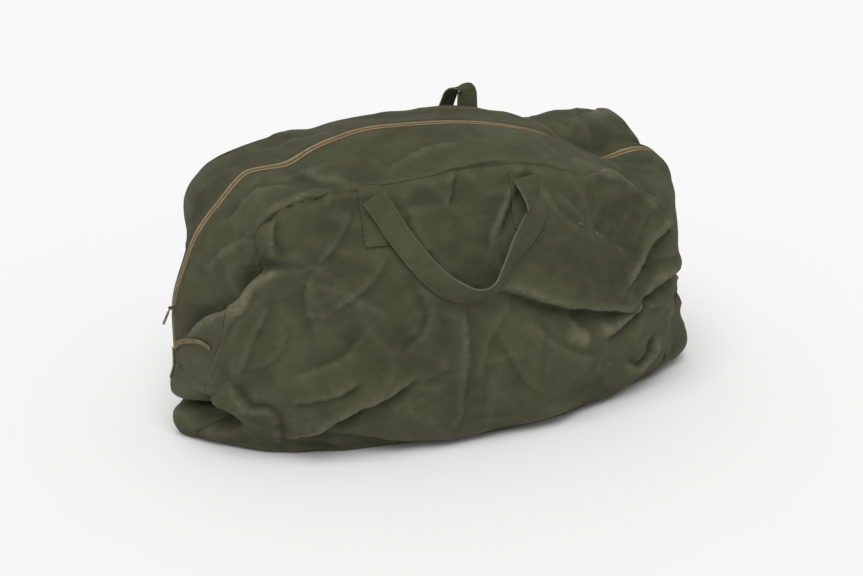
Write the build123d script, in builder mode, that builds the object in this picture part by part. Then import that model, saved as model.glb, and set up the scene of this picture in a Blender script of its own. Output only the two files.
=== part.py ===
"""Canvas duffel bag, zipped shut and full, as an assembly of sewn panels, zip and carry handles.

Millimetres, +Z up. X runs along the bag, -Y is its front, and the origin is the centre of the
base on the ground. The bag is an arch-shaped strip (the gusset, with the zip down its middle)
between two bulging side panels, on a flat base panel. Each panel is a thin shell of its own.
"""

from build123d import *
from math import cos, radians, sin, tan
import os

# ---- driving dimensions ----
LENGTH = 929.0  # overall, at the base
HALF_LENGTH = LENGTH / 2
GUSSET_HALF = 150.0  # the gusset's seams are this far from the zip
CLOTH = 2.5  # canvas with its seam allowance and waxed finish
BASE_CLOTH = 2.0
FILL_GAP = 12.0  # between the canvas and the packed filling
BELOW = 5.0  # how far cutting solids run past the ground

# The arch, seen from the front, is a chain of tangent arcs: (radius, turn in degrees).
# A positive turn is to the right, which is convex, and a negative one is the sag
# between the main load and the lump at the right end.
END_HEIGHT = 207.0  # straight part of the left end, up to the first arc
SHOULDER_RADIUS = 262.5
SHOULDER_TURN = 69.1
ARCS = [
    (SHOULDER_RADIUS, SHOULDER_TURN),
    (680.0, 42.9),
    (150.0, 25.0),
    (55.0, -65.0),
    (100.0, 104.0),
]
END_SLOPE = 4.0  # the right end leans out by this from the vertical, in degrees

# How the arch shrinks from the zip out to the side panels: (y, share of length, of height).
CROWN = [(0.0, 1.0, 1.0), (80.0, 0.977, 0.985), (GUSSET_HALF, 0.91, 0.942)]
BULGE = [CROWN[-1], (180.0, 0.83, 0.765), (205.0, 0.70, 0.543), (215.0, 0.58, 0.38)]
INNER_BULGE = [CROWN[-1], (179.0, 0.827, 0.757), (203.0, 0.693, 0.530), (212.5, 0.57, 0.37)]
FILL_Y = 12.0  # the filling stops this far short of the side panels

# ---- zip ----
SLOT_HALF = 9.0  # the gusset's folded edges stand this far from the zip's middle
TAPE_IN, TAPE_OUT = 3.2, 14.0
TAPE_TOP, TAPE_BOTTOM = -3.3, -4.3  # depths below the canvas's outer face
ROW_IN, ROW_OUT = 0.8, 3.2
ROW_TOP, ROW_BOTTOM = -1.6, -4.6
ZIP_LOW_LEFT = 130.0  # height of the zip's ends above the ground
ZIP_LOW_RIGHT = 150.0
STOP_LENGTH = 6.0

SLIDER_ANGLE = 5.0  # the slider rests this far round the shoulder arc
SLIDER_LENGTH, SLIDER_WIDTH = 18.0, 12.0
SLIDER_PLATE = 2.2
SLIDER_CLEARANCE = 0.5
PULL_LENGTH, PULL_WIDTH, PULL_THICKNESS = 30.0, 8.0, 1.4
PULL_TILT = 25.0  # the pull hangs this far out from the vertical
CROWN_HEIGHT = 5.0
PULL_EYE_RADIUS = 1.9
CROWN_BAR_RADIUS = 1.2

# ---- handles ----
STRAP_WIDTH, STRAP = 38.0, 4.0
FRONT_HANDLE_X = (-174.0, 76.0)
BACK_HANDLE_X = (-145.0, 105.0)
ANCHOR_TOP, ANCHOR_BOTTOM = 464.0, 366.0
ANCHOR_CLOTH = 2.8
HANDLE_Y, HANDLE_Z = 167.0, 452.0  # the line that a handle folds on
BACK_FOLD_RISE = 36.0  # the back handle's right leg stands up before it folds over
LEG_TILT = 15.5  # a hanging handle lies this far out from the vertical
HANDLE_DROP = 225.0  # to the corner that the handle's bend is rounded from
LEG_STRAIGHT = 22.0
HANDLE_BEND, LEG_BEND = 40.0, 20.0
FOLD_GAP = 2.6  # between the fold line and the strap's end
STUB_Y = 160.0  # the back handle's standing right end

os.makedirs("parts", exist_ok=True)


def arch_line(inset):
    """The open arch from its left foot to its right foot, moved in by inset."""
    at = Vector(-HALF_LENGTH + inset, END_HEIGHT)
    heading = 90.0
    Line((-HALF_LENGTH + inset, -BELOW), (at.X, at.Y))
    for radius, turn in ARCS:
        convex = turn > 0
        way = Vector(cos(radians(heading)), sin(radians(heading)))
        arc = JernArc(at, way, radius - inset if convex else radius + inset, -turn)
        at = arc @ 1
        heading -= turn
    foot = at.X + (at.Y + BELOW) * tan(radians(END_SLOPE))
    Line(at, (foot, -BELOW))
    Line((foot, -BELOW), (-HALF_LENGTH + inset, -BELOW))


def slice_plane(y):
    """A plane across the bag at y, with its own x along +X and its own y along +Z."""
    return Plane(origin=(0, y, 0), x_dir=(1, 0, 0), z_dir=(0, -1, 0))


def loft_through(sections, side, inset):
    """Lofts the arch through (y, share of length, share of height) on one side of the zip."""
    slices = []
    for y, share_x, share_z in sections:
        with BuildSketch(slice_plane(side * y)) as section:
            with BuildLine():
                arch_line(inset)
            make_face()
            scale(by=(share_x, share_z, 1))
        slices.append(section.sketch)
    loft(slices)


def across(inset):
    """Lofts the whole width of the gusset, seam to seam."""
    both = [(-y, a, b) for y, a, b in reversed(CROWN)] + CROWN[1:]
    loft_through(both, 1, inset)


def keep_above(z):
    """Trims the part being built to the space above z."""
    split(bisect_by=Plane.XY.offset(z), keep=Keep.TOP)


# ---- forms that several pieces are cut from ----
with BuildPart() as gusset_form:
    across(0)
with BuildPart() as gusset_inside:
    across(CLOTH)
with BuildPart() as gusset_shell:
    add(gusset_form.part)
    add(gusset_inside.part, mode=Mode.SUBTRACT)
    keep_above(BASE_CLOTH)

bulge_form, bulge_inside = {}, {}
for side in (-1, 1):
    with BuildPart() as outer:
        loft_through(BULGE, side, 0)
    with BuildPart() as inner:
        loft_through(INNER_BULGE, side, CLOTH)
    bulge_form[side], bulge_inside[side] = outer.part, inner.part

finished = {}


def finish(name, part):
    """Labels a finished piece and writes it to its own STEP file."""
    part.label = name
    export_step(part, f"parts/{name}.step")
    finished[name] = part


# ---- base panel: the footprint of the gusset and both bulges ----
with BuildPart() as base_panel:
    add(gusset_form.part)
    for side in (-1, 1):
        add(bulge_form[side])
    split(bisect_by=Plane.XY, keep=Keep.TOP)
    split(bisect_by=Plane.XY.offset(BASE_CLOTH), keep=Keep.BOTTOM)
finish("base_panel", base_panel.part)

# ---- side panels ----
for side, name in ((-1, "front_panel"), (1, "back_panel")):
    with BuildPart() as side_panel:
        add(bulge_form[side])
        add(bulge_inside[side], mode=Mode.SUBTRACT)
        keep_above(BASE_CLOTH)
    finish(name, side_panel.part)

# ---- gusset: two strips beside the zip, and one piece below each of its ends ----
ZIP_SPAN = 2 * (HALF_LENGTH + BELOW)
for side, name in ((-1, "front_gusset"), (1, "back_gusset")):
    middle_y = side * (SLOT_HALF + GUSSET_HALF + BELOW) / 2
    with BuildPart() as strip:
        add(gusset_shell.part)
        with Locations((0, middle_y, 0)):
            Box(
                ZIP_SPAN,
                GUSSET_HALF + BELOW - SLOT_HALF,
                LENGTH,
                align=(Align.CENTER, Align.CENTER, Align.MIN),
                mode=Mode.INTERSECT,
            )
        for end, low in ((-1, ZIP_LOW_LEFT), (1, ZIP_LOW_RIGHT)):
            with Locations((end * HALF_LENGTH, 0, 0)):
                Box(
                    LENGTH / 2,
                    LENGTH,
                    low,
                    align=(Align.CENTER, Align.CENTER, Align.MIN),
                    mode=Mode.SUBTRACT,
                )
    finish(name, strip.part)

for end, low, name in ((-1, ZIP_LOW_LEFT, "left_end_panel"), (1, ZIP_LOW_RIGHT, "right_end_panel")):
    with BuildPart() as end_panel:
        add(gusset_shell.part)
        with Locations((end * HALF_LENGTH, 0, 0)):
            Box(
                LENGTH / 2,
                LENGTH,
                low,
                align=(Align.CENTER, Align.CENTER, Align.MIN),
                mode=Mode.INTERSECT,
            )
    finish(name, end_panel.part)


def arch_band(outer_inset, inner_inset, y_from, y_to, share_x=1.0, share_z=1.0):
    """A band that follows the arch, between two depths and between two planes across the bag."""
    with BuildSketch(slice_plane(y_from)) as profile:
        with BuildLine():
            arch_line(outer_inset)
        make_face()
        with BuildLine():
            arch_line(inner_inset)
        make_face(mode=Mode.SUBTRACT)
        scale(by=(share_x, share_z, 1))
    extrude(profile.sketch, amount=y_from - y_to)


def trim_zip_ends(left, right):
    """Cuts the band being built off below the zip's left and right ends."""
    for end, low in ((-1, left), (1, right)):
        with Locations((end * HALF_LENGTH, 0, low)):
            Box(
                LENGTH / 2,
                LENGTH,
                LENGTH,
                align=(Align.CENTER, Align.CENTER, Align.MAX),
                mode=Mode.SUBTRACT,
            )


# ---- zip: tapes under the gusset's edges, and a row of teeth on each ----
TAPE_TAIL = 12.0
for side, word in ((-1, "front"), (1, "back")):
    near, far = sorted((side * TAPE_IN, side * TAPE_OUT), reverse=True)
    with BuildPart() as tape:
        arch_band(-TAPE_TOP, -TAPE_BOTTOM, near, far)
        trim_zip_ends(ZIP_LOW_LEFT - TAPE_TAIL, ZIP_LOW_RIGHT - TAPE_TAIL)
    finish(f"zipper_tape_{word}", tape.part)

    near, far = sorted((side * ROW_IN, side * ROW_OUT), reverse=True)
    with BuildPart() as teeth:
        arch_band(-ROW_TOP, -ROW_BOTTOM, near, far)
        trim_zip_ends(ZIP_LOW_LEFT + STOP_LENGTH, ZIP_LOW_RIGHT + STOP_LENGTH)
    finish(f"zipper_teeth_{word}", teeth.part)

# the bottom stop joins the two rows, and each row has a top stop of its own
for word, end, low, spans in (
    ("bottom", -1, ZIP_LOW_LEFT, [(ROW_OUT, -ROW_OUT)]),
    ("top", 1, ZIP_LOW_RIGHT, [(ROW_OUT, ROW_IN), (-ROW_IN, -ROW_OUT)]),
):
    with BuildPart() as stop:
        for y_from, y_to in spans:
            arch_band(-ROW_TOP, -ROW_BOTTOM, y_from, y_to)
        with Locations((end * HALF_LENGTH, 0, low)):
            Box(
                LENGTH / 2,
                LENGTH,
                STOP_LENGTH,
                align=(Align.CENTER, Align.CENTER, Align.MIN),
                mode=Mode.INTERSECT,
            )
    finish(f"zipper_{word}_stop", stop.part)

# ---- slider, on the shoulder arc, in a plane that faces out of the bag ----
SHOULDER_CENTRE = Vector(-HALF_LENGTH + SHOULDER_RADIUS, 0, END_HEIGHT)
out = Vector(-cos(radians(SLIDER_ANGLE)), 0, sin(radians(SLIDER_ANGLE)))
along = Vector(sin(radians(SLIDER_ANGLE)), 0, cos(radians(SLIDER_ANGLE)))
slider_plane = Plane(origin=SHOULDER_CENTRE + out * SHOULDER_RADIUS, x_dir=along, z_dir=out)
TOP_FACE = ROW_TOP + SLIDER_CLEARANCE + SLIDER_PLATE
LOW_FACE = ROW_BOTTOM - SLIDER_CLEARANCE - SLIDER_PLATE
LIP = 0.6  # the slider's edges turn towards the tape by this

with BuildPart() as zipper_slider:
    for start in (ROW_TOP + SLIDER_CLEARANCE, LOW_FACE):
        with BuildSketch(slider_plane.offset(start)):
            SlotCenterToCenter(SLIDER_LENGTH - SLIDER_WIDTH, SLIDER_WIDTH)
            with Locations((-SLIDER_LENGTH / 4, 0)):
                Rectangle(SLIDER_LENGTH / 2, 0.75 * SLIDER_WIDTH)
        extrude(amount=SLIDER_PLATE)
    with BuildSketch(slider_plane.offset(ROW_BOTTOM - SLIDER_CLEARANCE)):
        with Locations((SLIDER_LENGTH / 4, 0)):
            Rectangle(SLIDER_LENGTH / 4, ROW_IN)
    extrude(amount=ROW_TOP - ROW_BOTTOM + 2 * SLIDER_CLEARANCE)
    with BuildSketch(slider_plane.offset(ROW_TOP + SLIDER_CLEARANCE - LIP)):
        with Locations((0, SLIDER_WIDTH / 2 - LIP), (0, -SLIDER_WIDTH / 2 + LIP)):
            Rectangle(SLIDER_LENGTH / 2, 2 * LIP)
    extrude(amount=LIP)
    # two posts and a bar between them, which the pull hangs from
    for across_y in (-1, 1):
        with BuildSketch(slider_plane.offset(TOP_FACE)):
            with Locations((0, across_y * (PULL_WIDTH / 2 - CROWN_BAR_RADIUS))):
                Rectangle(2.4 * CROWN_BAR_RADIUS, 2 * CROWN_BAR_RADIUS)
        extrude(amount=CROWN_HEIGHT)
finish("zipper_slider", zipper_slider.part)

# ---- crown bar, between the slider's posts ----
pull_pivot = slider_plane.from_local_coords(Vector(0, 0, TOP_FACE + CROWN_HEIGHT - CROWN_BAR_RADIUS))
BAR_LENGTH = PULL_WIDTH - 4 * CROWN_BAR_RADIUS
with BuildPart() as crown_bar:
    with BuildSketch(Plane(origin=pull_pivot, x_dir=(1, 0, 0), z_dir=(0, 1, 0))):
        Circle(CROWN_BAR_RADIUS)
    extrude(amount=BAR_LENGTH / 2, both=True)
finish("zipper_slider_bar", crown_bar.part)

# ---- pull: an eye round the bar, a neck between the posts and a wider tab ----
hang = Vector(-sin(radians(PULL_TILT)), 0, -cos(radians(PULL_TILT)))
pull_plane = Plane(origin=pull_pivot, x_dir=hang, z_dir=(0, 1, 0))
EYE_WIDTH = BAR_LENGTH - 0.6
TAB_START = 6.5
with BuildPart() as zipper_pull:
    with BuildSketch(pull_plane):
        Circle(PULL_EYE_RADIUS + 1.0)
        with Locations((TAB_START / 2, 0)):
            Rectangle(TAB_START, PULL_THICKNESS)
        Circle(CROWN_BAR_RADIUS + 0.06, mode=Mode.SUBTRACT)
    extrude(amount=EYE_WIDTH / 2, both=True)
    tab_face = Plane(origin=pull_pivot, x_dir=hang, z_dir=(-hang.Z, 0, hang.X))
    with BuildSketch(tab_face):
        with Locations((TAB_START + (PULL_LENGTH - TAB_START) / 2, 0)):
            RectangleRounded(PULL_LENGTH - TAB_START, PULL_WIDTH, 2.5)
        with Locations((PULL_LENGTH - 6.0, 0)):
            SlotCenterToCenter(3.0, 2.6, mode=Mode.SUBTRACT)
    extrude(amount=PULL_THICKNESS / 2, both=True)
finish("zipper_pull", zipper_pull.part)

# ---- handle anchors: the strap's sewn ends, lying on the side panels ----
LIFT_Y, LIFT_Z = 0.86 * ANCHOR_CLOTH, 0.51 * ANCHOR_CLOTH
for side, word, places in ((-1, "front", FRONT_HANDLE_X), (1, "back", BACK_HANDLE_X)):
    for x, end in zip(places, ("left", "right")):
        with BuildPart() as anchor:
            add(bulge_form[side].moved(Location((0, side * LIFT_Y, LIFT_Z))))
            with Locations((x, side * HANDLE_Y, ANCHOR_BOTTOM)):
                Box(
                    STRAP_WIDTH,
                    GUSSET_HALF,
                    ANCHOR_TOP - ANCHOR_BOTTOM,
                    align=(Align.CENTER, Align.CENTER, Align.MIN),
                    mode=Mode.INTERSECT,
                )
            add(bulge_form[side], mode=Mode.SUBTRACT)
        finish(f"{word}_handle_anchor_{end}", anchor.part)


# ---- handles: one strap each, hanging in a plane that leans out over the panel ----
def handle_plane(side, rise):
    """The plane that a handle hangs in: x along its fold line, y down the strap."""
    span = FRONT_HANDLE_X[1] - FRONT_HANDLE_X[0]
    fold = Vector(span, 0, rise).normalized()
    down = Vector(0, side * sin(radians(LEG_TILT)), -cos(radians(LEG_TILT)))
    left = FRONT_HANDLE_X[0] if side < 0 else BACK_HANDLE_X[0]
    return Plane(origin=(left, side * HANDLE_Y, HANDLE_Z), x_dir=fold, z_dir=fold.cross(down))


for side, word, rise in ((-1, "front", 0.0), (1, "back", BACK_FOLD_RISE)):
    span = (Vector(FRONT_HANDLE_X[1] - FRONT_HANDLE_X[0], 0, rise)).length
    with BuildPart() as handle:
        with BuildSketch(handle_plane(side, rise)):
            with BuildLine():
                FilletPolyline(
                    (0, FOLD_GAP),
                    (0, LEG_STRAIGHT),
                    (0.62 * span, HANDLE_DROP),
                    (span, LEG_STRAIGHT),
                    (span, FOLD_GAP),
                    radius=[LEG_BEND, HANDLE_BEND, LEG_BEND],
                )
            trace(line_width=STRAP_WIDTH)
        extrude(amount=STRAP / 2, both=True)
    finish(f"{word}_handle", handle.part)

# ---- stub: behind, the strap's right end stands up from its anchor before it folds over ----
with BuildPart() as stub:
    with Locations((BACK_HANDLE_X[1], STUB_Y, ANCHOR_BOTTOM)):
        Box(
            STRAP_WIDTH,
            STRAP,
            HANDLE_Z + BACK_FOLD_RISE - 2 * FOLD_GAP - ANCHOR_BOTTOM,
            align=(Align.CENTER, Align.CENTER, Align.MIN),
        )
    add(bulge_form[1].moved(Location((0, LIFT_Y, LIFT_Z))), mode=Mode.SUBTRACT)
    add(bulge_form[1], mode=Mode.SUBTRACT)
finish("back_handle_stub", stub.part)

# ---- seam bindings, inside along both seams of the gusset ----
BINDING_DEPTH, BINDING_THICKNESS = 8.0, 1.6
for side, word in ((-1, "front"), (1, "back")):
    ys = sorted((side * GUSSET_HALF, side * (GUSSET_HALF - BINDING_THICKNESS)), reverse=True)
    with BuildPart() as binding:
        arch_band(CLOTH + 0.4, CLOTH + BINDING_DEPTH, ys[0], ys[1], *CROWN[-1][1:])
        keep_above(BASE_CLOTH + 0.5)
    finish(f"{word}_seam_binding", binding.part)

# ---- filling: the soft load that keeps the bag's shape ----
with BuildPart() as filling:
    fill = [(y, a, b) for y, a, b in BULGE[:0:-1]]
    inward = [(-(y - FILL_Y), a, b) for y, a, b in fill]
    outward = [(y - FILL_Y, a, b) for y, a, b in BULGE[1:]]
    middle = [(-y, a, b) for y, a, b in CROWN[1:2]] + CROWN[:2]
    loft_through(inward + middle + outward, 1, FILL_GAP)
    keep_above(BASE_CLOTH + 1.0)
finish("filling", filling.part)

overall = Compound(children=list(finished.values())).bounding_box()
print("size", overall.size, "low", overall.min, "high", overall.max)
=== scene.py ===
"""The look of a full canvas duffel bag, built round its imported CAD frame. Metres, +Z up.

The bag's skin is one lattice, wrapped on a box: the gusset over the top and ends, the front and
back panels, and the base. It is shaped from its seam lines and folds, settled by a cloth
simulation, subdivided and then cut into the sewn panels that stand for the CAD's panels.
"""

import math
import random

import bmesh
import bpy
import numpy as np
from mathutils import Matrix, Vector, noise
from mathutils.bvhtree import BVHTree


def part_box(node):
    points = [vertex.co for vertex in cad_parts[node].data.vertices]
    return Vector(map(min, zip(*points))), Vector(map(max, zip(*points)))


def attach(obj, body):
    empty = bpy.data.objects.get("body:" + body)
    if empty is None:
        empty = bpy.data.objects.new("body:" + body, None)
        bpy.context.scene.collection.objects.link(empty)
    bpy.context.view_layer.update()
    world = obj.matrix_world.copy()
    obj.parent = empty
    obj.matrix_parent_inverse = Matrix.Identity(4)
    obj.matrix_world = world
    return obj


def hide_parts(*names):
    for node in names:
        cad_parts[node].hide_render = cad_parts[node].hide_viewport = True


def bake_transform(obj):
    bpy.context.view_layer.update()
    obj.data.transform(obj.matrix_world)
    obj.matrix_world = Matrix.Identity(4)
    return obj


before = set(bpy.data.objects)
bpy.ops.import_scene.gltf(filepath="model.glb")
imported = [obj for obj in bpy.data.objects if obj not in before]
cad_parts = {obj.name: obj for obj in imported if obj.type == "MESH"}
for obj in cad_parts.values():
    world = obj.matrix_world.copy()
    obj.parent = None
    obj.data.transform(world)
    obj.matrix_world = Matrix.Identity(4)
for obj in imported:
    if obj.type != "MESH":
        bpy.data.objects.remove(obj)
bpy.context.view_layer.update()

# ---- the arch that the CAD is drawn on: a chain of tangent arcs, (radius, turn in degrees) ----
HALF_LENGTH = 0.4645
END_HEIGHT = 0.207
END_SLOPE = 4.0
ARCS = [(0.2625, 69.1), (0.680, 42.9), (0.150, 25.0), (0.055, -65.0), (0.100, 104.0)]
SLOT_HALF = 0.011  # the gusset's folded edges stand this far from the zip's middle
ZIP_LOW_LEFT, ZIP_LOW_RIGHT = 0.130, 0.150
CLOTH = 0.0018


def metres(table):
    """A table of millimetres, nested as it is, in metres."""
    if isinstance(table, (list, tuple)):
        return type(table)(metres(row) for row in table)
    return table / 1000


# ---- seam and hem lines, as points to run a smooth curve through ----
FRONT_SEAM = metres([
    (-440, -40, 12), (-446, -80, 70), (-432, -115, 160), (-398, -140, 262), (-366, -150, 350),
    (-358, -150, 405), (-330, -150, 440), (-278, -150, 457), (-164, -150, 457), (-91, -150, 460),
    (-30, -150, 468), (54, -150, 469), (115, -152, 458), (169, -154, 440), (231, -150, 440),
    (296, -147, 394), (348, -143, 355), (364, -138, 300), (374, -128, 215), (386, -108, 120),
    (396, -88, 56), (392, -70, 10),
])
BACK_SEAM = metres([
    (-440, 40, 10), (-428, 95, 80), (-402, 130, 190), (-394, 146, 290), (-392, 150, 365),
    (-366, 150, 415), (-306, 150, 443), (-208, 150, 460), (-53, 150, 475), (60, 150, 472),
    (150, 150, 452), (200, 150, 436), (260, 150, 442), (335, 148, 432), (392, 142, 368), (388, 130, 250),
    (408, 108, 120), (412, 60, 12),
])
FRONT_HEM = metres([
    (-354, -110, 4), (-249, -146, 2), (-136, -160, 1), (-40, -168, 1), (41, -172, 1), (161, -154, 1),
    (262, -116, 4), (328, -90, 6),
])
FRONT_HEM = [FRONT_SEAM[0], *FRONT_HEM, FRONT_SEAM[-1]]
BACK_HEM = metres([
    (-340, 100, 3), (-150, 145, 1), (0, 153, 1), (160, 143, 1), (330, 100, 4),
])
BACK_HEM = [BACK_SEAM[0], *BACK_HEM, BACK_SEAM[-1]]
SHOULDER = {  # where the side panels' outlines turn from their ends to their tops
    "front": metres(((-335, -150, 437), (345, -143, 360))),
    "back": metres(((-350, 150, 425), (385, 142, 378))),
    "zip": metres(((-372, 0, 407), (398, 0, 388))),
}

SWELLS = metres([  # where the gusset swells up: x, y, half length, half width, rise
    (328, 90, 105, 48, 38),
    (-375, 100, 50, 50, 6),
    (275, -45, 40, 30, 22),
    (-338, 0, 30, 50, 14),
    (-262, -20, 28, 60, -10),
    (-140, 0, 60, 60, 6),
    (385, 0, 45, 50, 10),
    (215, 60, 20, 70, -9),
    (140, 95, 50, 50, 12),
    (400, 95, 45, 50, 14),
])

# ---- folds: a line that the cloth bends along. The cloth on the line's right, seen from outside, ----
# ---- rises and laps over the cloth on its left. (line, rise, sink, width, lap) ----
FOLDS = metres([
    # the load's left edge, under the drooping shoulder
    ([(-462, -31, 187), (-441, -83, 236), (-419, -113, 257), (-396, -145, 284), (-374, -153, 313),
      (-354, -159, 329), (-328, -165, 338), (-301, -171, 340)], 14, 12, 32, 6),
    # the panel's top edge stands over the sunken gusset at the right shoulder
    ([(215, -151, 447), (262, -149, 420), (300, -147, 391), (352, -143, 350)], 3, 12, 30, 2),
    # and the gusset over the panel at the left one
    ([(-235, -150, 457), (-278, -150, 457), (-330, -150, 440), (-358, -150, 405)], 3, 7, 18, 2),
    # pleats under the left shoulder
    ([(-330, -152, 425), (-334, -158, 385), (-330, -165, 350)], 3, 5, 16, 2),
    # the ledge above the lower left corner
    ([(-402, -128, 160), (-384, -134, 112), (-368, -138, 103), (-347, -147, 107), (-330, -150, 93),
      (-326, -138, 58), (-322, -120, 26)], 1.5, 10, 20, 2),
    # the long crease down to the front hem
    ([(-110, -208, 146), (-165, -204, 120), (-218, -194, 95), (-265, -178, 70), (-300, -160, 48),
      (-324, -145, 30)], 6, 12, 28, 3),
    ([(-200, -201, 150), (-257, -184, 124), (-320, -162, 116)], 4, 5, 20, 1),
    # the deep fold across the front, right of the handle
    ([(310, -155, 178), (237, -177, 195), (163, -199, 216), (104, -210, 241), (57, -214, 266),
      (5, -216, 280)], 3, 17, 32, 2),
    ([(314, -153, 196), (284, -159, 168), (222, -175, 142)], 8, 6, 22, 2),
    # pinches round the right end
    ([(405, -90, 236), (368, -130, 230), (330, -150, 219), (291, -162, 192)], 10, 13, 24, 5),
    ([(372, -120, 320), (317, -156, 300), (290, -163, 262), (262, -171, 226)], 8, 9, 24, 3),
    ([(270, -140, 82), (318, -120, 57), (340, -119, 78), (345, -130, 120)], 7, 9, 18, 3),
    ([(90, -150, 460), (64, -175, 425), (24, -196, 360)], 3, 5, 20, 1),
    ([(-32, -150, 468), (-36, -166, 445), (-44, -178, 415)], 3, 6, 14, 2),
    ([(-200, -135, 466), (-243, -110, 463), (-268, -50, 462)], 1, 6, 34, 0),
    ([(155, 150, 452), (178, 100, 462), (212, 40, 442), (262, 4, 412)], 4, 11, 22, 3),
    # the mouth's roll, over the lower left corner
    ([(-425, 115, 75), (-452, 60, 62), (-460, 0, 60), (-455, -50, 62), (-436, -85, 82), (-428, -110, 110)],
     4, 20, 22, 4),
])
# a line that stands up as a sharp crest, or sinks if its height is negative: (line, height, width)
CREASES = metres([
    ([(-37, -218, 272), (-34, -220, 171), (-46, -175, 34)], 5, 30),
    ([(-60, -218, 160), (-120, -210, 132)], 3, 18),
    ([(-340, -160, 300), (-365, -150, 230), (-392, -138, 150)], 5, 26),
    ([(-300, -172, 330), (-230, -195, 300), (-150, -205, 250)], 4, 24),
    ([(-250, -180, 380), (-290, -172, 300), (-270, -180, 210)], -4, 24),
    ([(130, -180, 430), (210, -180, 335), (262, -170, 290)], 3, 30),
    ([(60, -214, 225), (140, -200, 150), (220, -175, 110)], 5, 26),
    ([(10, -214, 210), (60, -205, 120), (110, -180, 60)], -4, 30),
    ([(-130, -200, 330), (-100, -210, 240), (-150, -205, 180)], -4, 28),
    ([(300, -148, 385), (335, -148, 345), (352, -145, 310)], 4, 16),
    ([(-200, -170, 440), (-235, -185, 380), (-290, -178, 330)], 5, 22),
    ([(-150, -185, 360), (-190, -195, 310), (-260, -188, 265)], 5, 24),
    ([(-120, -175, 430), (-105, -195, 370), (-60, -210, 320)], -5, 22),
    ([(55, -175, 430), (20, -195, 380), (5, -207, 330)], -6, 20),
    ([(105, -165, 440), (140, -185, 380), (205, -185, 330)], 4, 28),
    ([(40, -215, 250), (0, -220, 190), (-10, -210, 120)], 4, 26),
    ([(-200, -205, 240), (-240, -195, 190), (-330, -165, 160)], -6, 24),
    ([(-310, -165, 260), (-330, -160, 200), (-380, -140, 170)], 5, 20),
    ([(-150, -120, 470), (-80, -90, 482), (10, -70, 486)], 4, 24),
    ([(-280, -90, 462), (-330, -60, 440), (-390, -50, 380)], -5, 22),
    ([(-430, -50, 310), (-395, -90, 360), (-360, -130, 400)], 6, 24),
    ([(120, 70, 475), (50, 100, 485), (-50, 110, 488)], 4, 24),
    ([(-120, 60, 492), (-220, 80, 480), (-300, 110, 450)], -4, 24),
    ([(250, 50, 440), (300, 90, 470), (370, 110, 430)], 6, 24),
    ([(350, 30, 410), (400, 60, 390), (430, 50, 330)], -6, 22),
    ([(440, 0, 280), (430, -60, 250), (400, -100, 236)], -10, 22),
    ([(450, 60, 150), (440, -20, 120), (410, -80, 118)], -12, 22),
    ([(440, 50, 330), (410, 10, 380), (380, -40, 370)], 4, 20),
    ([(-330, 150, 430), (-395, 150, 300), (-410, 140, 180)], 6, 30),
    ([(-460, 30, 150), (-452, 80, 180), (-420, 130, 240)], -8, 24),
    ([(-250, 210, 320), (-100, 212, 220), (20, 205, 120)], 6, 34),
    ([(300, 200, 340), (150, 212, 260), (60, 212, 190)], 7, 30),
    ([(-300, 190, 160), (-180, 205, 110), (-60, 195, 80)], -6, 30),
    ([(340, 180, 200), (240, 195, 130), (180, 180, 60)], 6, 30),
])
PITS = metres([  # where the cloth is pushed in: centre, radius, depth
    ((-436, -80, 82), 34, 42),
    ((468, -30, 20), 45, -22),
    ((462, 20, 150), 50, 9),
    ((-445, 0, 300), 45, 5),
    ((-395, 130, 350), 60, -4),
    ((-15, -216, 296), 60, 13),
    ((-350, -148, 90), 30, 8),
    ((-40, -190, 395), 50, 10),
    ((170, -195, 185), 50, 10),
    ((-400, -120, 335), 45, 12),
    ((456, -20, 250), 56, 31),
    ((452, -10, 320), 45, 16),
])
SWAY, SWAY_SIZE = 0.007, 0.110  # soft unevenness everywhere
RIPPLE, RIPPLE_SIZE = 0.0065, 0.074  # and crests between the hollows of heavy cloth
FOLD_DEPTH, CREASE_HEIGHT = 1.6, 1.8  # times what the tables say
STEP_WIDTH = 0.0056  # from a fold's low side to its high side
STRAY_CREASES = 70
CORNER_LIFT = 0.020  # the front right corner stands this far off the floor
SEAM_WELT = 0.0016
BELLY = {-1: 0.037, 1: 0.050}  # how far the front and back panels bulge
EAR_OUT, NOTCH_IN, LIP_OUT, LIP_DROOP = 0.007, 0.036, 0.014, 0.010  # at the lower left end
FILL_DEPTH, FILL_GAP = 0.020, 0.006  # how far inside the skin the filling lies, and at least

# ---- lattice ----
CELLS_UP, CELLS_ALONG = 58, 104
CELL_HIGH, CELL_LONG, CROSS_STRETCH = 0.0080, 0.0086, 1.1  # the cloth's size in the lattice
LANES = [0.0, 0.011, 0.0145, 0.0195, 0.027, 0.036, 0.048, 0.060, 0.072, 0.084, 0.096, 0.108, 0.119, 0.129]
LANES += [0.137, 0.143, 0.147, 0.150]
ACROSS = [-y for y in reversed(LANES)] + LANES[1:]
TAGS = ["front_panel", "back_panel", "front_gusset", "back_gusset"]
TAGS += ["left_end_panel", "right_end_panel", "base_panel", "slot"]

# ---- cloth simulation ----
FRAMES, SLACK, MOST_MOVE = 22, -0.045, 0.011
SMOOTH_ROUNDS = 3  # so that no ripple is as fine as the lattice
LOAD_DEPTH = 0.011  # the load starts this far inside the skin
FLOOR_GAP = 0.0012  # nothing of the skin is lower


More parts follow.
